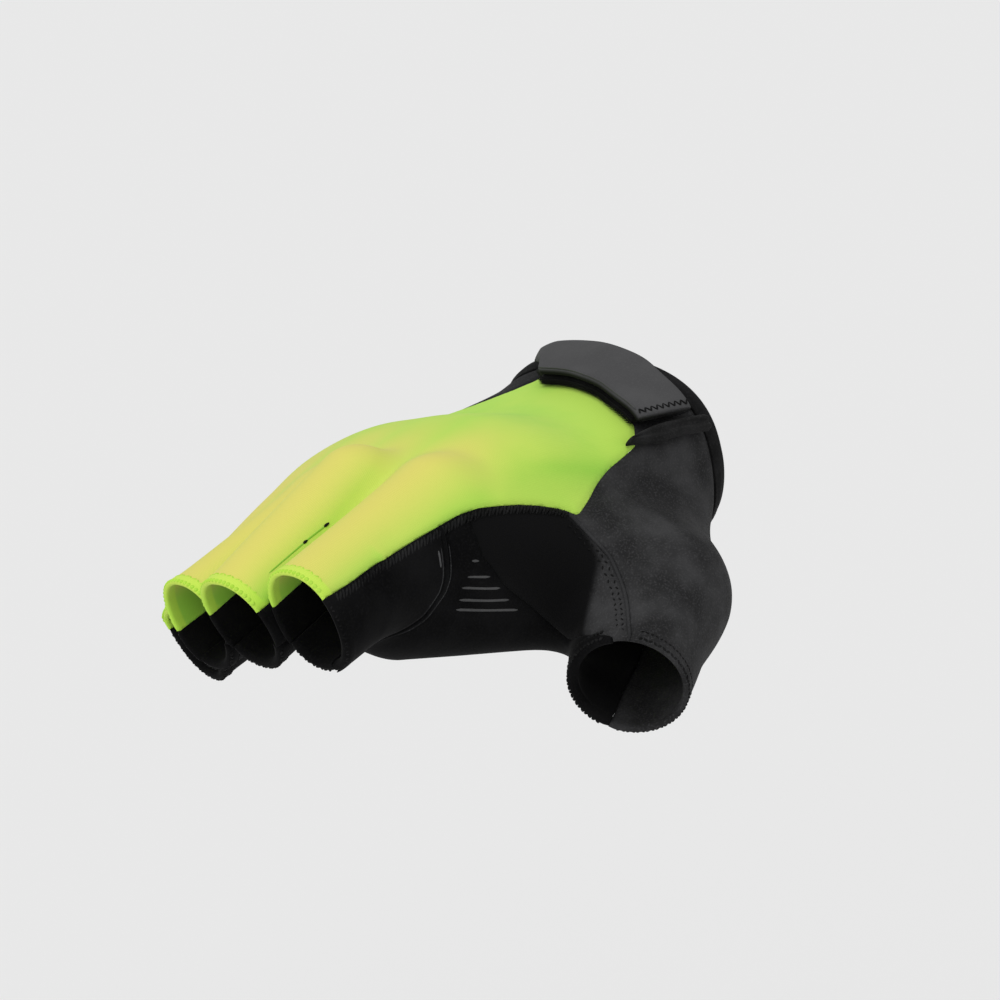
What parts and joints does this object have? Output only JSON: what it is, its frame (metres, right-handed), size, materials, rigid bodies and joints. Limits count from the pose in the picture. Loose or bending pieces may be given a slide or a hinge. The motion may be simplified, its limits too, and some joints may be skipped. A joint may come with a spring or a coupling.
{
  "type": "cycling glove",
  "caption": "Fingerless cycling glove in its worn form: stretch back, suede palm, thumb gusset, and a hook-and-loop wrist tab. Held up at the wrist opening.",
  "frame": {"origin": "centre of the wrist opening", "axes": "+X from the wrist opening to the fingers, +Y to the thumb side, +Z to the back of the hand"},
  "size_m": [0.1258, 0.1149, 0.0714],
  "materials": {
    "back_panel": "stretch jersey, matt",
    "palm_panel": "synthetic suede, matt",
    "thumb_panel": "brushed stretch knit",
    "thumb_gusset": "synthetic suede, matt",
    "index_side_patch": "synthetic suede, stitched edge",
    "fourchette_index_middle": "fine knit",
    "fourchette_middle_ring": "fine knit",
    "fourchette_ring_little": "fine knit",
    "cuff_band": "folded knit binding",
    "loop_panel": "brushed loop fabric",
    "hook_patch": "hook tape",
    "closure_tab": "smooth soft tab",
    "anchor_band": "folded strip with raised seam"
  },
  "bodies": {
    "root": {"back_panel": "back_panel", "palm_panel": "palm_panel", "thumb_panel": "thumb_panel", "thumb_gusset": "thumb_gusset", "index_side_patch": "index_side_patch", "fourchette_index_middle": "fourchette_index_middle", "fourchette_middle_ring": "fourchette_middle_ring", "fourchette_ring_little": "fourchette_ring_little", "cuff_band": "cuff_band", "loop_panel": "loop_panel", "hook_patch": "hook_patch", "closure_tab": "closure_tab", "anchor_band": "anchor_band"}
  },
  "joints": []
}
